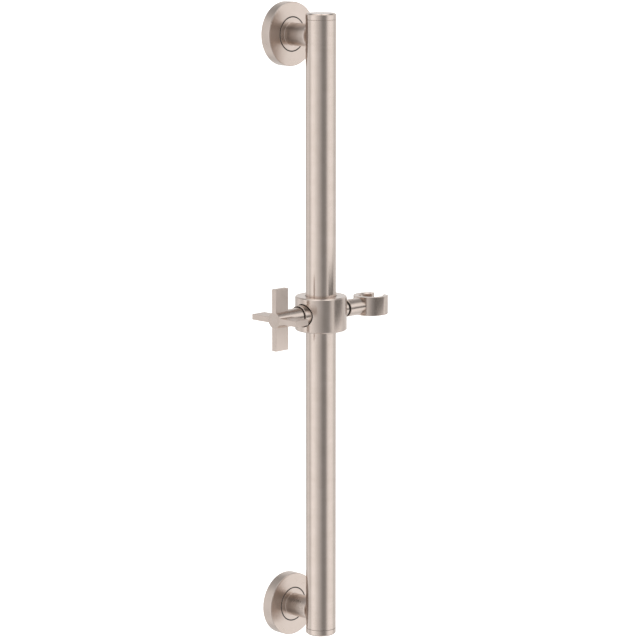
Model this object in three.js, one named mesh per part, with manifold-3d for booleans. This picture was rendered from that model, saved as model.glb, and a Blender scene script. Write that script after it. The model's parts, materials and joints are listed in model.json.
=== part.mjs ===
// A slide bar for a hand shower: a vertical tube held off the wall by two posts, and a ring that
// slides and turns on it. A cross handle on the ring's left clamps it to the tube, and a swivelling
// hook on its right carries the hand shower.
//
// The origin is the middle of the lower bracket's back, on the wall. +X is to the right for someone
// who faces the wall, +Y goes into the wall and +Z is up. Every size is in millimetres.

import * as THREE from 'three';
import { mergeVertices } from 'three/addons/utils/BufferGeometryUtils.js';
import Module from 'manifold-3d';

const wasm = await Module();
wasm.setup();

// Overall sizes
const post_spacing = 610;
const rail_overhang = 24;
const wall_clearance = 38.1;
const slider_rest_height = 322;

// Clearances
const gap = 0.3;
const glide_gap = 0.325;
const socket_gap = 0.8;
const screw_gap = 0.4;
const head_gap = 1;
const head_way = 2;

// Rail: a thin-walled tube with a bolted plug behind each post and a cap in each end
const rail_outer_r = 15.875;
const rail_wall = 1.65;
const rail_bolt_hole_r = 3.6;
const plug_height = 22;
const plug_hole_depth = 11;
const cap_head = 6.5;
const cap_spigot = 5.5;
const cap_edge = 1.6;
const seal_bead_r = 0.45;
const seal_groove_depth = 1.2;

// Wall bracket
const plate_r = 22;
const plate_thickness = 3.2;
const spigot_chamfer = 0.8;
const wall_screw_offset = 15;
const wall_screw_r = 2.1;
const wall_screw_head_r = 4.1;
const wall_screw_head_depth = 2.2;
const wall_screw_length = 26;
const wall_screw_tip = 4;

// Flange that covers the bracket, and the foam seal inside its back rim
const flange_r = 33.5;
const flange_depth = 12.2;
const flange_front_wall = 2.5;
const flange_rim = 6.7;
const flange_lip = 1.6;
const flange_edge = 1;
const flange_collar = 2;
const flange_collar_depth = 8.2;
const wall_seal_thickness = 1.5;
const wall_seal_width = 4.2;

// Post
const foot_r = 17.4;
const foot_to_flange = 0.8;
const foot_bead_r = 0.7;
const foot_bead_back = 4;
const post_r = 11.75;
const post_fillet = 1.2;
const post_edge = 1;
const saddle_depth = 2.375;
const post_web = 7.1;
const grub_r = 2.5;
const grub_sink = 0.5;
const grub_socket_r = 1.45;
const grub_socket_depth = 2;

// Bolts and washers with a six-sided socket
const bolt_r = 3;
const bolt_head_r = 5;
const bolt_head = 6;
const bolt_socket_r = 2.9;
const bolt_socket_depth = 3;
const rail_bolt_bite = 12.4;
const washer_overhang = 0.6;
const washer_thickness = 1;

// Slider ring and its two nylon glide rings
const slider_wall = 11.225;
const slider_height = 36;
const slider_edge = 1.3;
const slider_lip = 2.75;
const slider_lip_gap = 0.625;
const glide_thickness = 1.9;
const glide_split = 3;

// Clamp, from the rail outwards on the left
const shoe_r = 7;
const shoe_length = 4.2;
const shoe_pocket = 1.8;
const clamp_lift = 1.5;
const shoe_to_bonnet = 0.7;
const bonnet_r = 11.4;
const bonnet_projection = 6;
const bonnet_edge = 1;
const bonnet_recess_r = 10.5;
const bonnet_recess = 1.6;
const spindle_r = 5;
const spindle_nose_r = 3;
const spindle_bead_r = 0.8;
const spindle_grip = 24.6;

// Cross handle
const hub_insertion = 1;
const hub_back_r = 9.6;
const hub_front_r = 8.3;
const hub_neck = 18.5;
const arm_reach = 32.4;
const arm_thickness = 6.1;
const arm_depth = 17.9;
const arm_edge = 0.4;
const handle_grub_r = 2;
const handle_grub_offset = 10.1;

// Hook, from the rail outwards on the right
const boss_r = 8;
const boss_shank_r = 5;
const boss_edge = 0.6;
const boss_seat = 2.3;
const boss_projection = 7.5;
const boss_inner_end = 2.4;
const swivel_bead_r = 0.5;
const stem_r = 9.1;
const stem_edge = 0.7;
const stem_shoulder = 14.5;
const hook_reach = 38.5;
const cradle_outer_r = 18.5;
const cradle_height = 20;
const cradle_bore_top_r = 12.3;
const cradle_bore_bottom_r = 11.4;
const cradle_lead_in = 1.2;
const cradle_tip = 13.4;
const cradle_mouth = 15;
const wave_thickness = 0.4;
const wave_rise = 0.3;
const wave_count = 3;

// Facets of round surfaces
const facets = 32;
const small_facets = 16;
const bead_facets = 6;
const fillet_steps = 3;
const over = 1;

// Worked out from the sizes above
const rail_inner_r = rail_outer_r - rail_wall;
const rail_centre = wall_clearance + rail_outer_r;
const rail_length = post_spacing + 2 * rail_overhang;
const tube_length = rail_length - 2 * (cap_head + gap);
const plug_r = rail_inner_r - glide_gap;
const slider_outer_r = rail_outer_r + slider_wall;
const slider_bore_r = rail_outer_r + slider_lip_gap;
const glide_inner_r = rail_outer_r + glide_gap;
const glide_outer_r = glide_inner_r + glide_thickness;
const shoe_bore_r = shoe_r + gap;
const washer_r = bolt_head_r + washer_overhang;
const spigot_r = bolt_head_r + head_way;
const stem_bore_r = bolt_head_r + head_gap;
const foot_back = plate_thickness + gap;
const bolt_seat = wall_clearance - post_web;
const bolt_head_back = bolt_seat - washer_thickness - 2 * gap - bolt_head;
const spigot_end = bolt_head_back - 2 * gap;
const post_end = wall_clearance + saddle_depth;
const post_bore_r = spigot_r + gap;
const post_bolt_hole_r = bolt_r + gap;
const post_grub_height = (flange_depth + post_fillet + spigot_end) / 2;
const shoe_face = glide_inner_r;
const shoe_back = shoe_face + shoe_length;
const shoe_room = shoe_back + clamp_lift + gap / 2;
const bonnet_back = shoe_back + clamp_lift + shoe_to_bonnet;
const bonnet_front = slider_outer_r + bonnet_projection;
const hub_back = bonnet_front - hub_insertion;
const arm_back = hub_back + hub_neck;
const hub_front = arm_back + arm_depth;
const spindle_end = hub_back + spindle_grip;
const boss_floor = slider_outer_r - boss_seat;
const boss_front = slider_outer_r + boss_projection;
const swivel_bead_centre = boss_front + gap + swivel_bead_r;
const stem_start = swivel_bead_centre + swivel_bead_r + gap;
const swivel_shoulder = stem_start + stem_shoulder;
const cradle_centre = stem_start + hook_reach;
const thrust_washer_back = swivel_shoulder + gap;
const wave_centre = thrust_washer_back + washer_thickness + gap + wave_rise + wave_thickness / 2;
const swivel_head_back = wave_centre + wave_thickness / 2 + wave_rise + gap;

// Materials
function metal(colour, roughness) {
  return new THREE.MeshStandardMaterial({ color: colour, roughness, metalness: 1 });
}

function plastic(colour, roughness) {
  return new THREE.MeshStandardMaterial({ color: colour, roughness, metalness: 0 });
}

const brushed_nickel = metal(0xcbbfb3, 0.34);
const satin_nickel = metal(0xc8bcb0, 0.4);
const stainless = metal(0xb9b9b8, 0.35);
const bright_brass = metal(0xc9a55c, 0.35);
const black_rubber = plastic(0x1d1b1a, 0.85);
const grey_foam = plastic(0x4a4a4a, 0.95);
const white_nylon = plastic(0xe8e6df, 0.5);
const bronze = metal(0xa9794a, 0.45);

// A geometry becomes a closed solid that can be cut and joined.
function solid(geometry) {
  const bare = geometry.clone();
  bare.deleteAttribute('normal');
  bare.deleteAttribute('uv');
  const merged = mergeVertices(bare);
  const index = merged.index.array;
  const triangles = [];
  for (let i = 0; i < index.length; i += 3) {
    const corners = [index[i], index[i + 1], index[i + 2]];
    if (new Set(corners).size === 3) triangles.push(...corners);
  }
  return new wasm.Manifold(new wasm.Mesh({
    numProp: 3,
    vertProperties: new Float32Array(merged.attributes.position.array),
    triVerts: new Uint32Array(triangles),
  }));
}

// A solid becomes a named mesh.
function piece(name, material, body) {
  const mesh = body.getMesh();
  const geometry = new THREE.BufferGeometry();
  geometry.setAttribute('position', new THREE.BufferAttribute(mesh.vertProperties, 3));
  geometry.setIndex(new THREE.BufferAttribute(mesh.triVerts, 1));
  geometry.computeVertexNormals();
  const part = new THREE.Mesh(geometry, material);
  part.name = name;
  return part;
}

// Turned shapes: each point is a radius and a height, anticlockwise, and the axis becomes Z.
function turned(profile, count = facets) {
  const points = profile.map(([radius, height]) => new THREE.Vector2(radius, height));
  const closed = profile[0][0] > 0 ? [...points, points[0]] : points;
  return new THREE.LatheGeometry(closed, count).rotateX(Math.PI / 2);
}

function disc(radius, bottom, top, count = facets) {
  return turned([[0, bottom], [radius, bottom], [radius, top], [0, top]], count);
}

function ring(inner, outer, bottom, top, count = facets) {
  return turned([[inner, bottom], [outer, bottom], [outer, top], [inner, top]], count);
}

function bead(radius, section, height, count = facets) {
  return new THREE.TorusGeometry(radius, section, bead_facets, count).translate(0, 0, height);
}

// Points of an arc in a turned profile, with angles in degrees.
function arc(radius, height, bend, from, to) {
  const points = [];
  for (let step = 0; step <= fillet_steps; step += 1) {
    const angle = THREE.MathUtils.degToRad(from + (to - from) * step / fillet_steps);
    points.push([radius + bend * Math.cos(angle), height + bend * Math.sin(angle)]);
  }
  return points;
}

function hex_socket(radius, bottom, top) {
  const depth = top - bottom;
  return new THREE.CylinderGeometry(radius, radius, depth, 6)
    .rotateX(Math.PI / 2)
    .translate(0, 0, (top + bottom) / 2);
}

// A long cylinder along Y, for what meets the rail inside a group whose Y runs along the rail.
function rod_along_y(radius, length, height) {
  return new THREE.CylinderGeometry(radius, radius, length, facets).translate(0, 0, height);
}

// Directions: what is made along Z is turned to face the handle or the hook.
const to_handle = -Math.PI / 2;
const to_hook = Math.PI / 2;

// ---- One end of the rail. In these groups Z runs out of the wall and Y is up. ----

function wall_bracket() {
  const body = solid(turned([
    [0, 0],
    [plate_r, 0],
    [plate_r, plate_thickness],
    [spigot_r, plate_thickness],
    [spigot_r, spigot_end - spigot_chamfer],
    [spigot_r - spigot_chamfer, spigot_end],
    [0, spigot_end],
  ]));
  const countersink_back = plate_thickness - wall_screw_head_depth - gap;
  const screw_hole = turned([
    [0, -over],
    [wall_screw_r + screw_gap, -over],
    [wall_screw_r + screw_gap, countersink_back],
    [wall_screw_head_r + screw_gap, plate_thickness - gap],
    [wall_screw_head_r + screw_gap, plate_thickness + over],
    [0, plate_thickness + over],
  ], small_facets);
  const upper = screw_hole.clone().translate(0, wall_screw_offset, 0);
  const lower = screw_hole.clone().translate(0, -wall_screw_offset, 0);
  return body.subtract(solid(upper)).subtract(solid(lower));
}

function wall_screw() {
  const head_front = plate_thickness - gap;
  const head_back = head_front - wall_screw_head_depth;
  const tip = head_front - wall_screw_length;
  const body = solid(turned([
    [0, tip],
    [wall_screw_r, tip + wall_screw_tip],
    [wall_screw_r, head_back],
    [wall_screw_head_r, head_front],
    [0, head_front],
  ], small_facets));
  const slot = new THREE.BoxGeometry(wall_screw_r * 2, 1, 2.4).translate(0, 0, head_front);
  const cross_slot = slot.clone().rotateZ(Math.PI / 2);
  return body.subtract(solid(slot)).subtract(solid(cross_slot));
}

function flange() {
  const hole_r = foot_r + foot_to_flange;
  const lip_r = flange_r - flange_lip;
  const rim_r = flange_r - flange_rim;
  const rim_back = wall_seal_thickness + gap;
  const front_back = flange_depth - flange_front_wall;
  return solid(turned([
    [hole_r, flange_depth - flange_collar_depth],
    [hole_r + flange_collar, flange_depth - flange_collar_depth],
    [hole_r + flange_collar, front_back],
    [rim_r, front_back],
    [rim_r, rim_back],
    [lip_r, rim_back],
    [lip_r, 0],
    [flange_r, 0],
    [flange_r, flange_depth - flange_edge],
    [flange_r - flange_edge, flange_depth],
    [hole_r, flange_depth],
  ]));
}

function wall_seal() {
  const outer = flange_r - flange_lip - gap;
  return solid(ring(outer - wall_seal_width, outer, 0, wall_seal_thickness));
}

function flange_o_ring() {
  const outer = foot_r + foot_to_flange - gap;
  return solid(bead(outer - foot_bead_r, foot_bead_r, flange_depth - foot_bead_back));
}

function post() {
  const groove_r = foot_r + foot_to_flange - 2 * gap - 2 * foot_bead_r;
  const groove_half = foot_bead_r + gap;
  const groove = flange_depth - foot_bead_back;
  const body = solid(turned([
    [post_bore_r, foot_back],
    [foot_r, foot_back],
    [foot_r, groove - groove_half],
    [groove_r, groove - groove_half],
    [groove_r, groove + groove_half],
    [foot_r, groove + groove_half],
    [foot_r, flange_depth],
    ...arc(post_r + post_fillet, flange_depth + post_fillet, post_fillet, 270, 180),
    [post_r, post_end - post_edge],
    [post_r - post_edge, post_end],
    [post_bolt_hole_r, post_end],
    [post_bolt_hole_r, bolt_seat],
    [post_bore_r, bolt_seat],
  ]));
  const saddle = rod_along_y(rail_outer_r + glide_gap, 4 * post_r, rail_centre);
  const grub_hole = disc(grub_r + gap, 0, post_r + over, small_facets)
    .rotateX(Math.PI / 2)
    .translate(0, 0, post_grub_height);
  return body.subtract(solid(saddle)).subtract(solid(grub_hole));
}

// A short headless screw that stands radially, from an inner radius out to an outer one.
function grub_screw(radius, socket_r, inner, outer) {
  const body = solid(turned([
    [0, inner],
    [radius * 0.6, inner],
    [radius, inner + radius * 0.4],
    [radius, outer],
    [0, outer],
  ], small_facets));
  const socket = hex_socket(socket_r, outer - grub_socket_depth, outer + over);
  return body.subtract(solid(socket));
}

// A cap screw: its head's back is at the given height and its shank runs towards +Z.
function cap_screw(head_back, head_length, tip) {
  const head_front = head_back + head_length;
  const chamfer = 0.5;
  const body = solid(turned([
    [0, head_back],
    [bolt_head_r - chamfer, head_back],
    [bolt_head_r, head_back + chamfer],
    [bolt_head_r, head_front],
    [bolt_r, head_front],
    [bolt_r, tip - chamfer],
    [bolt_r - chamfer, tip],
    [0, tip],
  ], small_facets));
  const socket = hex_socket(bolt_socket_r, head_back - over, head_back + bolt_socket_depth);
  return body.subtract(solid(socket));
}

function rail_bolt() {
  return cap_screw(bolt_head_back, bolt_head, wall_clearance + rail_bolt_bite);
}

function rail_washer() {
  const front = bolt_seat - gap;
  return solid(ring(bolt_r + gap, washer_r, front - washer_thickness, front, small_facets));
}

// The brass plug inside the tube that the rail bolt screws into. Its axis runs along the rail.
function rail_plug() {
  const body = rod_along_y(plug_r, plug_height, rail_centre);
  const back = rail_centre - plug_r;
  const hole = disc(bolt_r + gap, back - over, back + plug_hole_depth + rail_wall, small_facets);
  return solid(body).subtract(solid(hole));
}

// The end cap points up along Z: the head's outside is at the rail's end and the spigot hangs down.
function end_cap() {
  const groove = -cap_head - gap - cap_spigot / 2;
  const groove_half = seal_bead_r + gap;
  const groove_r = plug_r - seal_groove_depth;
  return solid(turned([
    [0, -cap_head - gap - cap_spigot],
    [plug_r, -cap_head - gap - cap_spigot],
    [plug_r, groove - groove_half],
    [groove_r, groove - groove_half],
    [groove_r, groove + groove_half],
    [plug_r, groove + groove_half],
    [plug_r, -cap_head],
    [rail_outer_r, -cap_head],
    [rail_outer_r, -cap_edge],
    [rail_outer_r - cap_edge, 0],
    [0, 0],
  ]));
}

function cap_o_ring() {
  const groove_r = plug_r - seal_groove_depth;
  const radius = groove_r + gap + seal_bead_r;
  return solid(bead(radius, seal_bead_r, -cap_head - gap - cap_spigot / 2));
}

// A post with everything that holds it to the wall and to the rail.
function post_assembly(end, height) {
  const group = new THREE.Group();
  group.position.z = height;
  group.rotation.x = Math.PI / 2;

  const screw_above = piece(`${end}_wall_screw_a`, stainless, wall_screw());
  screw_above.position.y = wall_screw_offset;
  const screw_below = piece(`${end}_wall_screw_b`, stainless, wall_screw());
  screw_below.position.y = -wall_screw_offset;

  const grub_inner = spigot_r + gap;
  const grub_outer = post_r - grub_sink;
  const grub_body = grub_screw(grub_r, grub_socket_r, grub_inner, grub_outer);
  const grub = piece(`${end}_post_grub_screw`, stainless, grub_body);
  grub.rotation.x = Math.PI / 2;
  grub.position.z = post_grub_height;

  group.add(
    piece(`${end}_wall_bracket`, stainless, wall_bracket()),
    screw_above,
    screw_below,
    piece(`${end}_wall_seal`, grey_foam, wall_seal()),
    piece(`${end}_flange`, brushed_nickel, flange()),
    piece(`${end}_flange_o_ring`, black_rubber, flange_o_ring()),
    piece(`${end}_post`, brushed_nickel, post()),
    grub,
    piece(`${end}_rail_bolt`, stainless, rail_bolt()),
    piece(`${end}_rail_washer`, stainless, rail_washer()),
    piece(`${end}_rail_plug`, bright_brass, rail_plug()),
  );
  return group;
}

// A cap with its seal, which closes one end of the rail. Turned over, it closes the lower end.
function cap_assembly(end, height, turn) {
  const group = new THREE.Group();
  group.position.set(0, -rail_centre, height);
  group.rotation.x = turn;
  group.add(
    piece(`${end}_end_cap`, brushed_nickel, end_cap()),
    piece(`${end}_cap_o_ring`, black_rubber, cap_o_ring()),
  );
  return group;
}

// The tube stands along Z with its middle at the group's origin, and a bolt hole at each post.
function rail_tube() {
  let body = solid(ring(rail_inner_r, rail_outer_r, -tube_length / 2, tube_length / 2));
  for (const side of [-1, 1]) {
    const hole = disc(rail_bolt_hole_r, rail_inner_r / 2, rail_outer_r + over, small_facets)
      .rotateX(-Math.PI / 2)
      .translate(0, 0, side * post_spacing / 2);
    body = body.subtract(solid(hole));
  }
  return body;
}

// ---- The slider. Its origin is on the rail's axis, at the ring's mid-height. ----

const slider_half = slider_height / 2;
const groove_top = slider_half - slider_lip;
const groove_bottom = shoe_bore_r + glide_split / 4;

function slider_body() {
  const groove_r = glide_outer_r + gap;
  const body = solid(turned([
    [slider_bore_r, -slider_half],
    [slider_outer_r - slider_edge, -slider_half],
    [slider_outer_r, -slider_half + slider_edge],
    [slider_outer_r, slider_half - slider_edge],
    [slider_outer_r - slider_edge, slider_half],
    [slider_bore_r, slider_half],
    [slider_bore_r, groove_top],
    [groove_r, groove_top],
    [groove_r, groove_bottom],
    [slider_bore_r, groove_bottom],
    [slider_bore_r, -groove_bottom],
    [groove_r, -groove_bottom],
    [groove_r, -groove_top],
    [slider_bore_r, -groove_top],
  ], facets + small_facets));
  const bonnet_socket = turned([
    [0, rail_inner_r],
    [shoe_bore_r, rail_inner_r],
    [shoe_bore_r, shoe_room],
    [bonnet_r + socket_gap, shoe_room],
    [bonnet_r + socket_gap, slider_outer_r + over],
    [0, slider_outer_r + over],
  ]).rotateY(to_handle);
  const boss_socket = turned([
    [0, rail_inner_r],
    [boss_shank_r + gap, rail_inner_r],
    [boss_shank_r + gap, boss_floor],
    [boss_r + socket_gap, boss_floor],
    [boss_r + socket_gap, slider_outer_r + over],
    [0, slider_outer_r + over],
  ]).rotateY(to_hook);
  return body.subtract(solid(bonnet_socket)).subtract(solid(boss_socket));
}

// A split nylon ring that snaps into one of the slider's inner grooves, open towards the wall.
function glide_ring(middle) {
  const height = groove_top - groove_bottom - 2 * gap;
  const body = solid(ring(glide_inner_r, glide_outer_r, middle - height / 2, middle + height / 2));
  const split = new THREE.BoxGeometry(glide_split, glide_outer_r, height + 2 * over)
    .translate(0, glide_outer_r, middle);
  return body.subtract(solid(split));
}

// In the clamp's group Z runs out to the left, away from the rail, and Y goes into the wall.
function brake_shoe() {
  const corner = Math.sqrt(shoe_face ** 2 - shoe_r ** 2);
  const body = solid(turned([
    [0, corner - over],
    [shoe_r, corner - over],
    [shoe_r, shoe_back],
    [spindle_nose_r + gap, shoe_back],
    [spindle_nose_r + gap, shoe_back - shoe_pocket],
    [0, shoe_back - shoe_pocket],
  ], small_facets));
  const rail_bed = disc(shoe_face, -slider_half, slider_half).rotateY(Math.PI / 2);
  return body.subtract(solid(rail_bed));
}

function clamp_bonnet() {
  const bore_r = spindle_r + gap;
  const groove_r = spindle_r + 2 * gap + 2 * spindle_bead_r;
  const groove = (bonnet_back + bonnet_front - bonnet_recess) / 2;
  const groove_half = spindle_bead_r + gap;
  return solid(turned([
    [bore_r, bonnet_back],
    [bonnet_r, bonnet_back],
    [bonnet_r, bonnet_front - bonnet_edge],
    [bonnet_r - bonnet_edge + gap, bonnet_front],
    [bonnet_recess_r, bonnet_front],
    [bonnet_recess_r, bonnet_front - bonnet_recess],
    [bore_r, bonnet_front - bonnet_recess],
    [bore_r, groove + groove_half],
    [groove_r, groove + groove_half],
    [groove_r, groove - groove_half],
    [bore_r, groove - groove_half],
  ]));
}

function spindle_o_ring() {
  const height = (bonnet_back + bonnet_front - bonnet_recess) / 2;
  return solid(bead(spindle_r + gap + spindle_bead_r, spindle_bead_r, height, small_facets));
}

function clamp_spindle() {
  const nose = shoe_back - shoe_pocket + gap;
  const shoulder = shoe_back + gap;
  const chamfer = 0.6;
  return solid(turned([
    [0, nose],
    [spindle_nose_r, nose],
    [spindle_nose_r, shoulder],
    [spindle_r - chamfer, shoulder],
    [spindle_r, shoulder + chamfer],
    [spindle_r, spindle_end - chamfer],
    [spindle_r - chamfer, spindle_end],
    [0, spindle_end],
  ], small_facets));
}

// One bar of the cross, with its front and back edges broken. Its length is along X.
function cross_bar() {
  const half = arm_thickness / 2;
  const outline = new THREE.Shape([
    new THREE.Vector2(-half, arm_back + arm_edge),
    new THREE.Vector2(-half + arm_edge, arm_back),
    new THREE.Vector2(half - arm_edge, arm_back),
    new THREE.Vector2(half, arm_back + arm_edge),
    new THREE.Vector2(half, hub_front - arm_edge),
    new THREE.Vector2(half - arm_edge, hub_front),
    new THREE.Vector2(-half + arm_edge, hub_front),
    new THREE.Vector2(-half, hub_front - arm_edge),
  ]);
  const length = 2 * arm_reach;
  return new THREE.ExtrudeGeometry(outline, { depth: length, bevelEnabled: false })
    .translate(0, 0, -arm_reach)
    .rotateX(Math.PI / 2)
    .rotateZ(Math.PI / 2);
}

function cross_handle() {
  const hub = solid(turned([
    [0, hub_back],
    [hub_back_r, hub_back],
    [hub_front_r, hub_front],
    [0, hub_front],
  ]));
  const bar = cross_bar();
  const bore = disc(spindle_r + gap, hub_back - over, spindle_end + gap, small_facets);
  const grub_hole = disc(handle_grub_r + gap, 0, hub_back_r + over, small_facets)
    .rotateY(-Math.PI / 2)
    .translate(0, 0, hub_back + handle_grub_offset);
  return hub
    .add(solid(bar))
    .add(solid(bar.clone().rotateZ(Math.PI / 2)))
    .subtract(solid(bore))
    .subtract(solid(grub_hole));
}

// In the hook's group Z runs out to the right, away from the rail, and X points down.
function swivel_boss() {
  const bore_r = bolt_r + gap;
  return solid(turned([
    [bore_r, slider_bore_r + boss_inner_end],
    [boss_shank_r, slider_bore_r + boss_inner_end],
    [boss_shank_r, boss_floor + gap],
    [boss_r, boss_floor + gap],
    [boss_r, boss_front - boss_edge],
    [boss_r - boss_edge, boss_front],
    [bore_r, boss_front],
  ]));
}

function swivel_o_ring() {
  return solid(bead(boss_r - 0.2, swivel_bead_r, swivel_bead_centre));
}

// The plan of the cradle, with the stem along +X, drawn around the cradle's own centre.
function cradle_outline() {
  const tip_angle = Math.acos(cradle_tip / cradle_outer_r);
  const outline = new THREE.Shape();
  outline.absarc(0, 0, cradle_outer_r, tip_angle, 2 * Math.PI - tip_angle, false);
  outline.closePath();
  return outline;
}

function hook() {
  const half = cradle_height / 2;
  const disc_plan = new THREE.ExtrudeGeometry(cradle_outline(), {
    depth: cradle_height,
    bevelEnabled: false,
    curveSegments: facets,
  }).translate(0, 0, -half);
  const bore_slope = (cradle_bore_top_r - cradle_bore_bottom_r) / cradle_height;
  const lead_in_bottom = half - cradle_lead_in;
  const bore = turned([
    [0, -half - over],
    [cradle_bore_bottom_r - bore_slope * over, -half - over],
    [cradle_bore_top_r - bore_slope * cradle_lead_in, lead_in_bottom],
    [cradle_bore_top_r + cradle_lead_in, half],
    [cradle_bore_top_r + cradle_lead_in, half + over],
    [0, half + over],
  ]);
  const mouth_length = cradle_tip + over;
  const mouth = new THREE.BoxGeometry(mouth_length, cradle_mouth, cradle_height + 2 * over)
    .translate(mouth_length / 2, 0, 0);
  const stem = turned([
    [0, stem_start],
    [stem_r - stem_edge, stem_start],
    [stem_r, stem_start + stem_edge],
    [stem_r, cradle_centre - cradle_bore_bottom_r],
    [0, cradle_centre - cradle_bore_bottom_r],
  ]).rotateY(to_hook).translate(-cradle_centre, 0, 0);
  const screw_way = turned([
    [0, stem_start - over],
    [bolt_r + screw_gap, stem_start - over],
    [bolt_r + screw_gap, swivel_shoulder],
    [stem_bore_r, swivel_shoulder],
    [stem_bore_r, cradle_centre],
    [0, cradle_centre],
  ], small_facets).rotateY(to_hook).translate(-cradle_centre, 0, 0);
  return solid(disc_plan)
    .add(solid(stem))
    .subtract(solid(bore))
    .subtract(solid(mouth))
    .subtract(solid(screw_way));
}

function swivel_thrust_washer() {
  const back = thrust_washer_back;
  return solid(ring(bolt_r + gap, washer_r - gap, back, back + washer_thickness, small_facets));
}

// A thin spring ring that rises and falls around its circle.
function swivel_wave_washer() {
  const half = wave_thickness / 2;
  const flat = ring(bolt_r + gap, washer_r - gap, wave_centre - half, wave_centre + half);
  const place = flat.attributes.position;
  for (let i = 0; i < place.count; i += 1) {
    const around = Math.atan2(place.getY(i), place.getX(i));
    place.setZ(i, place.getZ(i) + wave_rise * Math.cos(wave_count * around));
  }
  return solid(flat);
}

// The swivel screw's head is out in the cradle and its shank runs back into the boss.
function swivel_screw() {
  const tip = slider_bore_r + boss_inner_end + over;
  const body = cap_screw(0, bolt_head, swivel_head_back + bolt_head - tip);
  return body.rotate([180, 0, 0]).translate([0, 0, swivel_head_back + bolt_head]);
}

function clamp_assembly() {
  const group = new THREE.Group();
  group.rotation.y = to_handle;
  const grub_inner = spindle_r + gap;
  const grub_outer = hub_front_r + gap;
  const grub_body = grub_screw(handle_grub_r, 1.15, grub_inner, grub_outer);
  const grub = piece('handle_grub_screw', stainless, grub_body);
  grub.rotation.y = -Math.PI / 2;
  grub.position.z = hub_back + handle_grub_offset;
  group.add(
    piece('brake_shoe', white_nylon, brake_shoe()),
    piece('clamp_bonnet', satin_nickel, clamp_bonnet()),
    piece('spindle_o_ring', black_rubber, spindle_o_ring()),
    piece('clamp_spindle', stainless, clamp_spindle()),
    piece('cross_handle', satin_nickel, cross_handle()),
    grub,
  );
  return group;
}

function hook_assembly() {
  const group = new THREE.Group();
  group.rotation.y = to_hook;
  group.add(
    piece('swivel_boss', satin_nickel, swivel_boss()),
    piece('swivel_o_ring', black_rubber, swivel_o_ring()),
    piece('swivel_thrust_washer', bronze, swivel_thrust_washer()),
    piece('swivel_wave_washer', stainless, swivel_wave_washer()),
    piece('swivel_screw', stainless, swivel_screw()),
  );
  return group;
}

function slider_assembly() {
  const group = new THREE.Group();
  group.position.set(0, -rail_centre, slider_rest_height);
  const glide_middle = (groove_top + groove_bottom) / 2;
  const hook_piece = piece('hook', satin_nickel, hook());
  hook_piece.position.x = cradle_centre;
  group.add(
    piece('slider_body', brushed_nickel, slider_body()),
    piece('upper_glide_ring', white_nylon, glide_ring(glide_middle)),
    piece('lower_glide_ring', white_nylon, glide_ring(-glide_middle)),
    clamp_assembly(),
    hook_assembly(),
    hook_piece,
  );
  return group;
}

function slide_bar() {
  const group = new THREE.Group();
  const tube = piece('rail_tube', brushed_nickel, rail_tube());
  tube.position.set(0, -rail_centre, post_spacing / 2);
  group.add(
    tube,
    post_assembly('lower', 0),
    post_assembly('upper', post_spacing),
    cap_assembly('lower', -rail_overhang, Math.PI),
    cap_assembly('upper', post_spacing + rail_overhang, 0),
    slider_assembly(),
  );
  return group;
}

export default slide_bar();
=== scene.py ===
# %% [markdown]
# # A shower slide bar in satin nickel
#
# This lesson dresses a finished CAD model. The CAD gives every piece its place and its size, and
# Blender gives it the fine surface: rounded edges, brushed metal, rubber and nylon. The object is a
# vertical tube that two posts hold off a wall. A ring slides on the tube, a cross handle clamps the
# ring, and a hook on the other side of it carries the hand shower.

# %% Load the CAD frame
import json
import math

import bmesh
import bpy
from mathutils import Matrix, Vector


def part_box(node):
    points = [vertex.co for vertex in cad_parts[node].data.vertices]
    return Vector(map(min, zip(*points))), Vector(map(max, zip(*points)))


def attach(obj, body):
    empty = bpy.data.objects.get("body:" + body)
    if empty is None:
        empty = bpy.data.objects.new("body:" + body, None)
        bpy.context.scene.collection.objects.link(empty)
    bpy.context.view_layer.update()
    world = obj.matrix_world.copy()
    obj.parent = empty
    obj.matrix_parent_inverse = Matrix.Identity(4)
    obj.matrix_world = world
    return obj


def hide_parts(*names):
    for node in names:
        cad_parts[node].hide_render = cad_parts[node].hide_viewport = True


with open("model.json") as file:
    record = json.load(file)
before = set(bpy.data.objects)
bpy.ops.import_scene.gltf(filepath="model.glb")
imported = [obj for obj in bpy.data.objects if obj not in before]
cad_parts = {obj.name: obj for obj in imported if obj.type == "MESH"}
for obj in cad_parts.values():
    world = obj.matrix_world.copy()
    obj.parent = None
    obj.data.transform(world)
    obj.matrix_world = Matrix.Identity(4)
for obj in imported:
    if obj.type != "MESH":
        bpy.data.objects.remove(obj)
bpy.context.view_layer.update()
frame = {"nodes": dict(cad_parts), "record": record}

# %% [markdown]
# ## Sizes
#
# The frame is in metres and a maker thinks in millimetres, so one value turns the one into the other.
# A size that shows on the outside of a CAD node is read from that node's box. The few that lie inside
# a piece, such as a wall's thickness, are named here.

# %% Read the sizes
MM = 0.001


def span(node, axis):
    """Lowest and highest coordinate of a CAD node along an axis (0, 1 or 2), in millimetres."""
    low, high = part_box(node)
    return low[axis] / MM, high[axis] / MM


def length_of(node, axis):
    low, high = span(node, axis)
    return high - low


rail_y = sum(span("rail_tube", 1)) / 2
rail_r = length_of("rail_tube", 0) / 2
rail_wall = 1.65
tube_low, tube_high = span("rail_tube", 2)
lower_post_z = sum(span("lower_flange", 2)) / 2
upper_post_z = sum(span("upper_flange", 2)) / 2
slider_z = sum(span("slider_body", 2)) / 2
slider_height = length_of("slider_body", 2)
slider_r = length_of("slider_body", 0) / 2
glide_gap = 0.325
gap = 0.3
print(f"rail {2 * rail_r:.2f} mm across, {tube_high - tube_low:.1f} mm long")
print(f"its axis is {-rail_y:.2f} mm off the wall")
print(f"posts {upper_post_z - lower_post_z:.1f} mm apart, slider {slider_height:.1f} mm high")

# %% [markdown]
# ## One helper for nodes
#
# Materials, the studio and the shape trees are all node trees. One small function adds a node, sets
# its properties, and fills its inputs: a socket is linked and anything else is a value.

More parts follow.
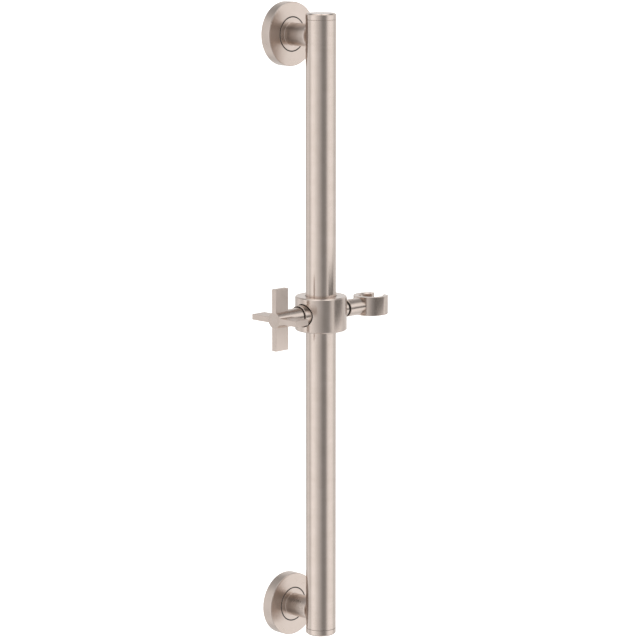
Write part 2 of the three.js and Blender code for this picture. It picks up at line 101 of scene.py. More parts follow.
# %% A helper that adds a node
def add(tree, kind, inputs=None, **settings):
    node = tree.nodes.new(kind)
    for key, value in settings.items():
        setattr(node, key, value)
    for key, value in (inputs or {}).items():
        if isinstance(value, bpy.types.NodeSocket):
            tree.links.new(value, node.inputs[key])
        else:
            node.inputs[key].default_value = value
    return node


print("a node is added with add(tree, kind, inputs, settings)")

# %% [markdown]
# ## Colours
#
# People write a colour as six hex digits, which follow the eye. A shader works in linear light, so one
# function turns the one into the other.

# %% A helper that makes a colour linear
def linear(hex_colour):
    """A hex colour as people write it, turned to the linear values that a shader works in."""
    channels = [int(hex_colour[i:i + 2], 16) / 255 for i in (1, 3, 5)]
    light = [c / 12.92 if c <= 0.04045 else ((c + 0.055) / 1.055) ** 2.4 for c in channels]
    return (*light, 1.0)


print("middle grey #808080 is", round(linear("#808080")[0], 3), "in linear light")

# %% [markdown]
# ## Satin nickel
#
# The real finish is nickel plate on brass, brushed with an abrasive belt or pad. On a turned piece the
# brush runs around the axis, so the lines are rings and the reflection spreads along the axis but stays
# sharp across it. A bump map of very fine rings does that: each ring tilts the light a little. The
# pattern is made from the distance to the piece's own axis and the height along it, so one recipe
# serves a tube, a disc's face and a cone. The real lines are about 0.05 mm wide, too fine to show, so
# they are drawn 0.25 mm wide.

# %% Make a satin nickel that is brushed around an axis
NICKEL = linear("#DACCC3")
NICKEL_WORN = linear("#D2C4BA")
brush_line = 0.25
brush_length = 14.0
cloud_size = 14.0
Z_AXIS = Vector((0, 0, 1))


def facing(direction):
    """The rotation that turns +Z to face a direction."""
    return Z_AXIS.rotation_difference(Vector(direction)).to_matrix().to_4x4()


def principled(name):
    material = bpy.data.materials.new(name)
    material.use_nodes = True
    shader = material.node_tree.nodes["Principled BSDF"]
    return material, material.node_tree, shader


def nickel(name, centre, axis, roughness, relief=0.04, straight=False):
    """Brushed nickel. centre and axis give the line that the brush ran around, or along if straight.

    relief is the depth of the brush lines in millimetres, deeper than real so that it shows.
    """
    material, tree, shader = principled(name)
    shader.inputs["Metallic"].default_value = 1.0
    coordinates = add(tree, "ShaderNodeTexCoord")
    local = add(tree, "ShaderNodeMapping", {
        "Vector": coordinates.outputs["Object"],
        "Location": Vector(centre) * MM,
        "Rotation": facing(axis).to_euler(),
    }, vector_type="TEXTURE")
    place = add(tree, "ShaderNodeSeparateXYZ", {"Vector": local.outputs["Vector"]})
    flat = add(tree, "ShaderNodeCombineXYZ", {"X": place.outputs["X"], "Y": place.outputs["Y"]})
    distance = add(tree, "ShaderNodeVectorMath", {0: flat.outputs["Vector"]}, operation="LENGTH")
    if straight:
        across, along, run = place.outputs["X"], place.outputs["Y"], place.outputs["Z"]
    else:
        across, along, run = distance.outputs["Value"], place.outputs["Z"], place.outputs["X"]
    lines = add(tree, "ShaderNodeCombineXYZ", {"X": across, "Y": along, "Z": run})
    squeeze = add(tree, "ShaderNodeVectorMath", {
        0: lines.outputs["Vector"],
        1: (1 / (brush_line * MM), 1 / (brush_line * MM), 1 / (brush_length * MM)),
    }, operation="MULTIPLY")
    brushing = add(tree, "ShaderNodeTexNoise", {
        "Vector": squeeze.outputs["Vector"], "Scale": 1.0, "Detail": 2.0, "Roughness": 0.6,
    })
    clouds = add(tree, "ShaderNodeTexNoise", {
        "Vector": coordinates.outputs["Object"], "Scale": 1 / (cloud_size * MM), "Detail": 3.0,
    })
    shade = add(tree, "ShaderNodeMath", {
        0: brushing.outputs["Fac"], 1: 0.55, 2: clouds.outputs["Fac"],
    }, operation="MULTIPLY_ADD")
    tint = add(tree, "ShaderNodeMapRange", {
        "Value": shade.outputs["Value"], "From Min": 0.55, "From Max": 1.0,
    })
    colour = add(tree, "ShaderNodeMix", {
        "Factor": tint.outputs["Result"], "A": NICKEL_WORN, "B": NICKEL,
    }, data_type="RGBA")
    gloss = add(tree, "ShaderNodeMapRange", {
        "Value": clouds.outputs["Fac"], "From Min": 0.3, "From Max": 0.7,
        "To Min": roughness - 0.01, "To Max": roughness + 0.015,
    })
    bump = add(tree, "ShaderNodeBump", {
        "Height": brushing.outputs["Fac"], "Strength": 0.5, "Distance": relief * MM,
    })
    tree.links.new(colour.outputs["Result"], shader.inputs["Base Color"])
    tree.links.new(gloss.outputs["Result"], shader.inputs["Roughness"])
    tree.links.new(bump.outputs["Normal"], shader.inputs["Normal"])
    return material


UP, DOWN, RIGHT, LEFT, OFF_WALL = (0, 0, 1), (0, 0, -1), (1, 0, 0), (-1, 0, 0), (0, -1, 0)
on_rail = (0, rail_y, 0)
on_slider = (0, rail_y, slider_z)
# The tube and the ring are brushed around their axis on a lathe, and give long, clear reflections.
rail_nickel = nickel("satin_nickel_on_the_rail", on_rail, UP, roughness=0.19)
slider_nickel = nickel("satin_nickel_on_the_slider", on_rail, UP, roughness=0.22)
# The flanges' flat faces and the posts take a coarser pad, so they are duller with deeper lines.
lower_nickel, upper_nickel = (
    nickel(f"satin_nickel_{end}_post", (0, 0, height), OFF_WALL, roughness=0.28, relief=0.075)
    for end, height in (("lower", lower_post_z), ("upper", upper_post_z))
)
# The hub, the collars and the stem are turned about the cross axis, the cradle about its own axis.
cradle_x = 74.7
side_nickel = nickel("satin_nickel_side_fittings", on_slider, RIGHT, roughness=0.2)
cradle_nickel = nickel("satin_nickel_cradle", (cradle_x, rail_y, slider_z), UP, roughness=0.22)
# The handle's flat arms are brushed in straight strokes by hand, and are the dullest.
arm_nickel = nickel("satin_nickel_arms", on_slider, UP, roughness=0.36, straight=True)
print("nickel finishes:", sum("nickel" in m.name for m in bpy.data.materials))

# %% [markdown]
# ## Rubber, nylon, foam, brass and steel
#
# The small pieces are plain materials, but none is one flat colour. Moulded rubber and nylon have a
# soft grain of a few tenths of a millimetre, foam has open cells, and turned brass and rolled steel
# have faint tool marks. One recipe mixes two shades with a noise and raises the same noise as relief.

# %% Make the other materials
def grained(name, light, dark, grain, roughness, metallic=0.0, relief=0.02, stretch=(1, 1, 1)):
    """A plain material in two shades. grain and relief are in millimetres."""
    material, tree, shader = principled(name)
    shader.inputs["Metallic"].default_value = metallic
    shader.inputs["Roughness"].default_value = roughness
    coordinates = add(tree, "ShaderNodeTexCoord")
    local = add(tree, "ShaderNodeMapping", {
        "Vector": coordinates.outputs["Object"], "Scale": stretch,
    })
    grains = add(tree, "ShaderNodeTexNoise", {
        "Vector": local.outputs["Vector"], "Scale": 1 / (grain * MM), "Detail": 3.0,
    })
    colour = add(tree, "ShaderNodeMix", {
        "Factor": grains.outputs["Fac"], "A": linear(dark), "B": linear(light),
    }, data_type="RGBA")
    bump = add(tree, "ShaderNodeBump", {
        "Height": grains.outputs["Fac"], "Strength": 0.4, "Distance": relief * MM,
    })
    tree.links.new(colour.outputs["Result"], shader.inputs["Base Color"])
    tree.links.new(bump.outputs["Normal"], shader.inputs["Normal"])
    return material


# Nitrile rubber, moulded: near black with a dull bloom.
rubber = grained("moulded_nitrile_rubber", "#2A2523", "#161312", 0.6, 0.6)
# Closed-cell foam, die cut: dark grey, its cells show as a fine pitted grain.
foam = grained("closed_cell_foam", "#5A5856", "#3A3836", 0.9, 0.95, relief=0.15)
# Acetal and nylon, moulded: creamy white and slightly waxy.
nylon = grained("moulded_nylon", "#EFECE3", "#E0DCD0", 1.2, 0.42)
# Free-cutting brass, turned: warm yellow with faint tool marks along its rings.
brass = grained(
    "turned_brass", "#D9B56A", "#C29A4E", 0.5, 0.32, metallic=1.0, stretch=(0.2, 0.2, 3),
)
# Sintered bronze: browner than brass, with fine pores.
bronze = grained("sintered_bronze", "#B98957", "#94683C", 0.4, 0.45, metallic=1.0)
# Brass in a greased bore, never plated or polished: dull, and darkened to near black as painted shade
# for the seams and recesses.
bore_brass_and_painted_shade = grained("greased_bore", "#2E2823", "#1C1815", 0.8, 0.65, metallic=0.2)
# Stainless steel, rolled or cold headed: neutral grey, slightly streaked.
stainless = grained(
    "rolled_stainless_steel", "#C9C8C6", "#B0AFAD", 0.7, 0.33, metallic=1.0, stretch=(1, 1, 0.25),
)
print("materials in all:", len(bpy.data.materials))

# %% [markdown]
# ## Turned pieces from one tree
#
# Most of this object comes off a lathe: tube, caps, flanges, posts, the ring and its collars. A turned
# shape follows a rule, because it is one profile carried around an axis, so a Geometry Nodes tree makes
# them all. Its input is the profile as a chain of edges, and each corner says how far it is rounded.
# The tree rounds the corners, sweeps the profile along a circle, and gives the result its material.

# %% Helpers that start and end a tree
def new_tree(name, sockets):
    tree = bpy.data.node_groups.new(name, "GeometryNodeTree")
    tree.interface.new_socket("Geometry", in_out="INPUT", socket_type="NodeSocketGeometry")
    for socket, (kind, value) in sockets.items():
        made = tree.interface.new_socket(socket, in_out="INPUT", socket_type=kind)
        if value is not None:
            made.default_value = value
    tree.interface.new_socket("Geometry", in_out="OUTPUT", socket_type="NodeSocketGeometry")
    return tree, add(tree, "NodeGroupInput")


def end_tree(tree, geometry, material):
    """Every tree ends alike: instances made real, the material set, and the result put out."""
    real = add(tree, "GeometryNodeRealizeInstances", {"Geometry": geometry})
    dressed = add(tree, "GeometryNodeSetMaterial", {
        "Geometry": real.outputs["Geometry"], "Material": material,
    })
    add(tree, "NodeGroupOutput", {"Geometry": dressed.outputs["Geometry"]})


print("a tree's ends are made by new_tree and end_tree")

# %% [markdown]
# ## The lathe itself
#
# The circle's radius takes no part in the shape: the profile is moved inwards by the same amount, so
# that the profile's own X is the distance from the axis.

# %% Build the lathe's tree
merge_distance = 2e-6


def lathe_tree():
    tree, given = new_tree("lathe", {
        "Facets": ("NodeSocketInt", 128),
        "Rounding steps": ("NodeSocketInt", 4),
        "Path radius": ("NodeSocketFloat", 1.0),
        "Material": ("NodeSocketMaterial", None),
    })
    profile = add(tree, "GeometryNodeMeshToCurve", {"Mesh": given.outputs["Geometry"]})
    corner = add(tree, "GeometryNodeInputNamedAttribute", {"Name": "rounding"}, data_type="FLOAT")
    rounded = add(tree, "GeometryNodeFilletCurve", {
        "Curve": profile.outputs["Curve"],
        "Radius": corner.outputs["Attribute"],
        "Limit Radius": True,
        "Count": given.outputs["Rounding steps"],
    }, mode="POLY")
    inward = add(tree, "ShaderNodeMath", {
        0: given.outputs["Path radius"], 1: -1.0,
    }, operation="MULTIPLY")
    shift = add(tree, "ShaderNodeCombineXYZ", {"X": inward.outputs["Value"]})
    section = add(tree, "GeometryNodeTransform", {
        "Geometry": rounded.outputs["Curve"], "Translation": shift.outputs["Vector"],
    })
    path = add(tree, "GeometryNodeCurvePrimitiveCircle", {
        "Resolution": given.outputs["Facets"], "Radius": given.outputs["Path radius"],
    })
    swept = add(tree, "GeometryNodeCurveToMesh", {
        "Curve": path.outputs["Curve"], "Profile Curve": section.outputs["Geometry"],
    })
    closed = add(tree, "GeometryNodeMergeByDistance", {
        "Geometry": swept.outputs["Mesh"], "Distance": merge_distance,
    })
    smooth = add(tree, "GeometryNodeSetShadeSmooth", {"Geometry": closed.outputs["Geometry"]})
    end_tree(tree, smooth.outputs["Geometry"], given.outputs["Material"])
    return tree


lathe = lathe_tree()
print("lathe tree:", len(lathe.nodes), "nodes")

# %% [markdown]
# ## From a tree to a plain mesh
#
# A finished piece is a plain mesh at the origin. `grow` puts a tree on a starting mesh and sets its
# inputs by their identifiers, then keeps the evaluated mesh and drops the modifier.

# %% Helpers that make an object and keep what a tree grows
def make_object(name, vertices, edges=(), faces=()):
    mesh = bpy.data.meshes.new(name)
    mesh.from_pydata(vertices, edges, faces)
    made = bpy.data.objects.new(name, mesh)
    bpy.context.scene.collection.objects.link(made)
    return made


def bake(made):
    """Keeps what the modifiers make, and removes them."""
    bpy.context.view_layer.update()
    shaped = made.evaluated_get(bpy.context.evaluated_depsgraph_get())
    mesh = bpy.data.meshes.new_from_object(shaped)
    made.modifiers.clear()
    old = made.data
    made.data = mesh
    bpy.data.meshes.remove(old)
    mesh.name = made.name
    return made


def grow(made, tree, values):
    modifier = made.modifiers.new(tree.name, "NODES")
    modifier.node_group = tree
    for item in tree.interface.items_tree:
        if item.in_out == "INPUT" and item.name in values:
            modifier[item.identifier] = values[item.name]
    return bake(made)


# %% [markdown]
# ## A clean surface
#
# `settle` merges doubles, turns every face outwards, and marks where the surface folds sharply.
# `turned` feeds a profile to the lathe, and `placed` brings the result to its place.

# %% Helpers that turn and place a piece
sharp_angle = math.radians(32)


def settle(made):
    work = bmesh.new()
    work.from_mesh(made.data)
    bmesh.ops.remove_doubles(work, verts=work.verts, dist=1e-6)
    bmesh.ops.dissolve_degenerate(work, edges=work.edges, dist=1e-7)
    bmesh.ops.recalc_face_normals(work, faces=work.faces)
    for face in work.faces:
        face.smooth = True
    work.to_mesh(made.data)
    work.free()
    made.data.set_sharp_from_angle(angle=sharp_angle)
    return made


def turned(name, corners, material, facets=128):
    """A turned piece about Z. Each corner is a radius, a height and a rounding, in millimetres."""
    points = [Vector((radius, -height, 0)) * MM for radius, height, _ in corners]
    chain = [(i, i + 1) for i in range(len(points) - 1)]
    if corners[0][0] > 0:
        chain.append((len(points) - 1, 0))
    made = make_object(name, points, chain)
    rounding = made.data.attributes.new("rounding", "FLOAT", "POINT")
    for i, (_, _, size) in enumerate(corners):
        rounding.data[i].value = size * MM
    grow(made, lathe, {"Facets": facets, "Material": material})
    return settle(made)


def placed(made, at, direction=(0, 0, 1)):
    """Moves the mesh, not the object: the object stays at the origin."""
    made.data.transform(Matrix.Translation(Vector(at) * MM) @ facing(direction))
    made.data.update()
    return made


print(f"a fold counts as sharp from {math.degrees(sharp_angle):.0f} degrees")

# %% [markdown]
# ## Drills and cutters
#
# Holes, ways and saddles are cut with solid tools, as on a milling machine. The tool's faces keep the
# tool's own finish, so a bore can carry a darker colour that paints shade into it. A Weighted Normal
# modifier ends each piece and keeps flat faces flat beside their rounded edges.

# %% Helpers that cut a piece and finish it
def cut(made, tool, operation="DIFFERENCE"):
    """Cuts one solid from another, or joins them, and drops the tool."""
    boolean = made.modifiers.new("cut", "BOOLEAN")
    boolean.operation = operation
    boolean.solver = "EXACT"
    boolean.material_mode = "TRANSFER"
    boolean.object = tool
    bake(made)
    bpy.data.objects.remove(tool)
    return settle(made)


def drill(radius, start, stop, finish, facets=64):
    """A round solid about Z, from one height to another."""
    corners = [(0, start, 0), (radius, start, 0), (radius, stop, 0), (0, stop, 0)]
    return turned("drill", corners, finish, facets)


def box_cutter(size, matrix, finish):
    """A box of a size in millimetres, moved or turned by a matrix."""
    work = bmesh.new()
    bmesh.ops.create_cube(work, size=1.0)
    stretch = Matrix.Diagonal((*(side * MM for side in size), 1.0))
    bmesh.ops.transform(work, matrix=matrix @ stretch, verts=work.verts)
    tool = make_object("cutter", [])
    tool.data.materials.append(finish)
    work.to_mesh(tool.data)
    work.free()
    return tool


def finish_piece(made, body, nodes):
    """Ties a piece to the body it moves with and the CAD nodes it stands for."""
    flatten = made.modifiers.new("flat_faces_stay_flat", "WEIGHTED_NORMAL")
    flatten.keep_sharp = True
    flatten.weight = 100
    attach(made, body)
    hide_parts(*nodes)
    print(f"{made.name}: {len(made.data.polygons)} faces, on {body}")
    return made


# %% [markdown]
# ## The rail
#
# The rail is a drawn tube with a cap pressed in at each end. The joint between cap and tube shows as a
# hairline, so the two are separate pieces with the CAD's gap between them. The cap's outer edge is
# chamfered, and the brush took its corners down.

# %% Turn the tube and its caps
rail_facets = 160
tube_edge = 0.15
tube_bore_r = rail_r - rail_wall
tube_corners = [
    (tube_bore_r, tube_low, tube_edge), (rail_r, tube_low, tube_edge),
    (rail_r, tube_high, tube_edge), (tube_bore_r, tube_high, tube_edge),
]
tube = placed(turned("rail", tube_corners, rail_nickel, rail_facets), on_rail)
finish_piece(tube, "rail", ["rail_tube"])

cap_head = 6.5
cap_edge = 1.4
spigot_r = tube_bore_r - glide_gap
cap_groove_depth = 1.2
cap_groove_width = 1.5


def end_cap(name, node, direction):
    """A cap drawn from its spigot's end to its head, which faces the given direction."""
    low, high = span(node, 2)
    total = high - low
    spigot = total - cap_head
    groove_low = (spigot - cap_groove_width) / 2
    groove_high = (spigot + cap_groove_width) / 2
    groove_floor = spigot_r - cap_groove_depth
    corners = [
        (0, 0, 0), (spigot_r, 0, 0.4), (spigot_r, groove_low, 0.1), (groove_floor, groove_low, 0.1),
        (groove_floor, groove_high, 0.1), (spigot_r, groove_high, 0.1), (spigot_r, spigot, 0.1),
        (rail_r, spigot, 0.15), (rail_r, total - cap_edge, 0.4), (rail_r - cap_edge, total, 0.4),
        (0, total, 0),
    ]
    start = low if direction == UP else high
    cap = placed(turned(name, corners, rail_nickel, rail_facets), (0, rail_y, start), direction)
    return finish_piece(cap, "rail", [node])


end_cap("upper_cap", "upper_end_cap", UP)
end_cap("lower_cap", "lower_end_cap", DOWN)

# %% [markdown]
# ## The posts and flanges
#
# Each post is one turned piece: a foot disc that sits in the flange, a small cove, and a round shank
# whose end is cut to a saddle for the tube. The flange is a shallow cup with a collar around its hole
# and a step inside its back rim for the foam seal. A dark rubber ring shows between foot and flange.

# %% Size and turn the flange
flange_r = length_of("lower_flange", 0) / 2
flange_depth = length_of("lower_flange", 1)
foot_r = length_of("lower_post", 0) / 2
seal_slot = 0.8
flange_hole_r = foot_r + seal_slot
collar_depth, collar_wall = 8.2, 2.0
face_wall, rim_wall = 2.5, 6.7
back_lip_wall, back_lip_height = 1.6, 1.8


def flange(name, node, height, finish):
    collar_r, back_lip_r = flange_hole_r + collar_wall, flange_r - back_lip_wall
    hollow_r, hollow_top = flange_r - rim_wall, flange_depth - face_wall
    corners = [
        (flange_hole_r, flange_depth - collar_depth, 0.2), (collar_r, flange_depth - collar_depth, 0.2),
        (collar_r, hollow_top, 0.4), (hollow_r, hollow_top, 0.8),
        (hollow_r, back_lip_height, 0.2), (back_lip_r, back_lip_height, 0.2), (back_lip_r, 0, 0.3),
        (flange_r, 0, 0.4), (flange_r, flange_depth, 1.0), (flange_hole_r, flange_depth, 0.5),
    ]
    made = placed(turned(name, corners, finish, 192), (0, 0, height), OFF_WALL)
    return finish_piece(made, "rail", [node])


print(f"flange {2 * flange_r:.1f} mm across and {flange_depth:.1f} mm deep")

# %% [markdown]
# The post is turned first. Then its end is cut to a saddle, a hair wider than the tube so that the two
# stay apart. A grub screw from below holds the post on the bracket, so it gets a way of its own.

# %% Size and turn the post
post_r = 11.75
post_cove = 0.5
saddle_depth = 2.375
post_end = -rail_y - rail_r + saddle_depth
post_back = -span("lower_post", 1)[1]
post_bore_r = 7.3
bolt_hole_r = 3.3
bolt_wall = 7.1
bolt_seat = -rail_y - rail_r - bolt_wall
foot_groove_sink, foot_groove_half, foot_groove_depth = 4.0, 1.0, 1.2
foot_groove = flange_depth - foot_groove_sink
grub_way_r, grub_way_length = 2.8, 14.0
saddle_reach = 40.0


def post(name, node, height, finish):
    groove_low, groove_high = foot_groove - foot_groove_half, foot_groove + foot_groove_half
    groove_floor = foot_r - foot_groove_depth
    corners = [
        (post_bore_r, post_back, 0.2), (foot_r, post_back, 0.2), (foot_r, groove_low, 0.1),
        (groove_floor, groove_low, 0.1), (groove_floor, groove_high, 0.1), (foot_r, groove_high, 0.1),
        (foot_r, flange_depth, 0.5), (post_r, flange_depth, post_cove), (post_r, post_end, 1.5),
        (bolt_hole_r, post_end, 0.1), (bolt_hole_r, bolt_seat, 0.1), (post_bore_r, bolt_seat, 0.2),
    ]
    made = placed(turned(name, corners, finish, 144), (0, 0, height), OFF_WALL)
    saddle = drill(rail_r + glide_gap, -saddle_reach, saddle_reach, finish, rail_facets)
    cut(made, placed(saddle, (0, rail_y, height)))
    grub_y = sum(span(node.replace("post", "post_grub_screw"), 1)) / 2
    grub_way = drill(grub_way_r, 0, grub_way_length, finish, 48)
    cut(made, placed(grub_way, (0, grub_y, height), DOWN))
    return finish_piece(made, "rail", [node])


print(f"post {2 * post_r:.1f} mm thick, its end {post_end:.1f} mm off the wall")

# %% [markdown]
# A rubber ring in the foot's groove grips the flange. Its lip fills the open ring up to just below the
# face, and flares a little over both edges so that no light gets past it.

# %% Turn the rubber ring and fit both ends
bead_depth, bead_half = 1.1, 0.7
lip_sink, lip_flare, lip_height = 0.05, 0.25, 0.5
inner_fit, outer_fit = 0.08, 0.06


def foot_seal(name, node, height):
    inner, outer = foot_r + inner_fit, flange_hole_r - outer_fit
    bead_r, lip_top = foot_r - bead_depth, flange_depth - lip_sink
    bead_low, bead_high = foot_groove - bead_half, foot_groove + bead_half
    corners = [
        (bead_r, bead_low, 0.3), (outer, bead_low, 0.3), (outer, flange_depth - lip_height, 0),
        (outer + lip_flare, lip_top, 0.05), (inner - lip_flare, lip_top, 0.05),
        (inner, flange_depth - lip_height, 0), (inner, bead_high, 0.1), (bead_r, bead_high, 0.3),
    ]
    made = placed(turned(name, corners, rubber, 160), (0, 0, height), OFF_WALL)
    return finish_piece(made, "rail", [node])


ends = (("lower", lower_post_z, lower_nickel), ("upper", upper_post_z, upper_nickel))
for end, height, finish in ends:
    flange(f"{end}_cover", f"{end}_flange", height, finish)
    post(f"{end}_stand", f"{end}_post", height, finish)
    foot_seal(f"{end}_foot_seal", f"{end}_flange_o_ring", height)

# %% [markdown]
# ## The slider ring
#
# The ring is a thick turned sleeve with two cross bores. The clamp's collar sits in the left one and
# the hook's collar in the right one, each with a thin open seam around it. Inside are the two shallow
# grooves for the nylon rings.

# %% Turn the ring
slider_clearance = 0.625
slider_bore_r = rail_r + slider_clearance
glide_groove_r = length_of("upper_glide_ring", 0) / 2 + gap
groove_low, groove_high = (value - slider_z for value in span("upper_glide_ring", 2))
ring_half = slider_height / 2
ring_chamfer = 1.1
groove_low -= gap
groove_high += gap
ring_profile = [
    (slider_bore_r, -ring_half, 0.3), (slider_r - ring_chamfer, -ring_half, 0.2),
    (slider_r, ring_chamfer - ring_half, 0.2), (slider_r, ring_half - ring_chamfer, 0.2),
    (slider_r - ring_chamfer, ring_half, 0.2), (slider_bore_r, ring_half, 0.5),
    (slider_bore_r, groove_high, 0.1), (glide_groove_r, groove_high, 0.1),
    (glide_groove_r, groove_low, 0.1), (slider_bore_r, groove_low, 0.1),
    (slider_bore_r, -groove_low, 0.1), (glide_groove_r, -groove_low, 0.1),
    (glide_groove_r, -groove_high, 0.1), (slider_bore_r, -groove_high, 0.1),
]
ring = placed(turned("slider_ring", ring_profile, slider_nickel, 192), on_slider)
print(f"ring {2 * slider_r:.1f} mm across, groove {groove_high - groove_low:.1f} mm high")

# %% [markdown]
# The cross bores are stepped: a narrow way through the wall, then a wide socket for the collar. The
# plating doesn't reach into them, so the drills carry the dull finish of greased brass, darkened
# further as painted shade in the seams around the collars.

# %% Bore the ring's sides
bonnet_r = length_of("clamp_bonnet", 2) / 2
boss_r = length_of("swivel_boss", 2) / 2
boss_head = 9.8
socket_gap = 0.8
socket_floor_gap = 0.4
clamp_way_r, hook_way_r = 7.3, 5.3
boss_floor = span("swivel_boss", 0)[1] - boss_head - gap
bonnet_seat = -span("clamp_bonnet", 0)[1] - socket_floor_gap
bore_start, bore_end = slider_bore_r - 4, slider_r + 5


def bore_side(way_r, socket_r, socket_floor, direction):
    corners = [
        (0, bore_start, 0), (way_r, bore_start, 0), (way_r, socket_floor, 0),
        (socket_r, socket_floor, 0), (socket_r, bore_end, 0), (0, bore_end, 0),
    ]
    # The drill's near-black finish paints shade into the socket and the seam around the collar.
    cut(ring, placed(turned("drill", corners, bore_brass_and_painted_shade, 96), on_slider, direction))


bore_side(clamp_way_r, bonnet_r + socket_gap, bonnet_seat, LEFT)
bore_side(hook_way_r, boss_r + socket_gap, boss_floor, RIGHT)
finish_piece(ring, "slider", ["slider_body"])

# %% [markdown]
# ## The two collars
#
# The clamp's collar is a nut: the spindle runs through it, and a rubber ring sits in its bore. Its
# outer end is recessed, and the recess takes the near-black bore colour as painted shade, so that the
# hub seems to float in a dark ring. The hook's collar is a stepped bush.

# %% Turn the clamp's collar
bonnet_in, bonnet_out = -span("clamp_bonnet", 0)[1], -span("clamp_bonnet", 0)[0]
recess_depth, recess_wall = 1.6, 0.9
recess_r = bonnet_r - recess_wall
spindle_bore = 5.3
bead_bore, bead_room = 7.2, 1.1
bead_middle = (bonnet_in + bonnet_out - recess_depth) / 2
bonnet_corners = [
    (spindle_bore, bonnet_in, 0.1), (bonnet_r, bonnet_in, 0.2), (bonnet_r, bonnet_out, 0.6),
    (spindle_bore, bonnet_out, 0), (spindle_bore, bead_middle + bead_room, 0.05),
    (bead_bore, bead_middle + bead_room, 0.05), (bead_bore, bead_middle - bead_room, 0.05),
    (spindle_bore, bead_middle - bead_room, 0.05),
]
bonnet = placed(turned("clamp_collar", bonnet_corners, side_nickel, 112), on_slider, LEFT)
# The recess takes the near-black bore colour: painted shade for the dark ring around the hub.
recess_way = drill(recess_r, bonnet_out - recess_depth, bonnet_out + 1, bore_brass_and_painted_shade, 112)
cut(bonnet, placed(recess_way, on_slider, LEFT))
finish_piece(bonnet, "slider", ["clamp_bonnet"])

# %% [markdown]
# The hook's collar is held from inside the stem by a screw, so it has a hole right through it.

# %% Turn the hook's collar
boss_in, boss_out = span("swivel_boss", 0)
boss_shank_r = 5.0
boss_hole_r = 3.3
boss_corners = [
    (boss_hole_r, boss_in, 0.1), (boss_shank_r, boss_in, 0.4), (boss_shank_r, boss_floor + gap, 0.1),
    (boss_r, boss_floor + gap, 0.2), (boss_r, boss_out, 0.6), (boss_hole_r, boss_out, 0.2),
]
boss = placed(turned("hook_collar", boss_corners, side_nickel, 96), on_slider, RIGHT)
finish_piece(boss, "slider", ["swivel_boss"])

# %% [markdown]
# ## The cross handle
#
# A tapered hub carries four equal arms of rectangular section. One arm is made by hand with its edges
# broken, and a Geometry Nodes tree repeats it around the hub: it lays as many points on the axis as
# there are arms, and puts a copy on each that is turned by its share of a full turn.

# %% Repeat one arm around the hub
def repeat_tree():
    tree, given = new_tree("repeat_around", {
        "Count": ("NodeSocketInt", 4),
        "Material": ("NodeSocketMaterial", None),
    })
    turns = add(tree, "GeometryNodeMeshLine", {"Count": given.outputs["Count"], "Offset": (0, 0, 0)})
    number = add(tree, "GeometryNodeInputIndex")
    share = add(tree, "ShaderNodeMath", {
        0: number.outputs["Index"], 1: given.outputs["Count"],
    }, operation="DIVIDE")
    angle = add(tree, "ShaderNodeMath", {0: share.outputs["Value"], 1: math.tau}, operation="MULTIPLY")
    turn = add(tree, "ShaderNodeCombineXYZ", {"Z": angle.outputs["Value"]})
    copies = add(tree, "GeometryNodeInstanceOnPoints", {
        "Points": turns.outputs["Mesh"],
        "Instance": given.outputs["Geometry"],
        "Rotation": turn.outputs["Vector"],
    })
    end_tree(tree, copies.outputs["Instances"], given.outputs["Material"])
    return tree


repeat_around = repeat_tree()
print("repeat tree:", len(repeat_around.nodes), "nodes")

# %% [markdown]
# ## One arm
#
# The arm is a bar from the axis outwards, and only the edges of its outer half are broken, because the
# inner end is inside the hub.

# %% Make one arm
arm_thickness = 6.1
arm_edge = 0.35
arm_reach = length_of("cross_handle", 2) / 2
handle_in, handle_out = -span("cross_handle", 0)[1], -span("cross_handle", 0)[0]
arm_depth = 17.9


def one_arm(name, front):
    """An arm along +X from the axis, with its front face at the given height."""
    made = make_object(name, [])
    work = bmesh.new()
    bmesh.ops.create_cube(work, size=1.0)
    size = Matrix.Diagonal((arm_reach, arm_thickness, arm_depth, 1.0))
    place = Matrix.Translation((arm_reach / 2, 0, front - arm_depth / 2))
    bmesh.ops.transform(work, matrix=Matrix.Scale(MM, 4) @ place @ size, verts=work.verts)
    outer = [e for e in work.edges if max(v.co.x for v in e.verts) > 0.5 * arm_reach * MM]
    bmesh.ops.bevel(work, geom=outer, offset=arm_edge * MM, segments=3, profile=0.5, affect="EDGES")
    work.to_mesh(made.data)
    work.free()
    return made


one = one_arm("cross", handle_out)
print(f"arm {arm_reach:.1f} mm long, {arm_thickness} mm thick, {len(one.data.vertices)} corners")

# %% [markdown]
# ## The whole handle
#
# Four arms and the hub become one solid, as in the real casting. Then the way for the spindle is bored
# from behind, and a small one from below for the grub screw that holds the handle on it.

# %% Join the arms and the hub
arm_count = 4
hub_back_r = 9.6
hub_front_r = 8.3
handle_grub_r, handle_grub_length = 2.3, 12.0
arms = placed(grow(one, repeat_around, {"Count": arm_count, "Material": arm_nickel}), on_slider, LEFT)
hub_corners = [
    (0, handle_in, 0), (hub_back_r, handle_in, 0.5),
    (hub_front_r, handle_out, 0.35), (0, handle_out, 0),
]
handle = placed(turned("cross_grip", hub_corners, side_nickel, 112), on_slider, LEFT)
cut(handle, arms, "UNION")
spindle_end = -span("clamp_spindle", 0)[0]
spindle_way = drill(spindle_bore, handle_in - 2, spindle_end + gap, side_nickel)
cut(handle, placed(spindle_way, on_slider, LEFT))
grub_x = sum(span("handle_grub_screw", 0)) / 2
grub_way = drill(handle_grub_r, 0, handle_grub_length, side_nickel, 40)
cut(handle, placed(grub_way, (grub_x, rail_y, slider_z), DOWN))
finish_piece(handle, "handle", ["cross_handle"])

# %% [markdown]
# ## The hook
#
# The hook is one casting: a round stem and a C-shaped cradle with a tapered bore, which grips the cone
# of a hand shower. It is made as the real one is machined. A stem is joined to a disc, then the bore,
# the mouth and the way for the swivel screw are cut, and a Bevel modifier breaks the edges.

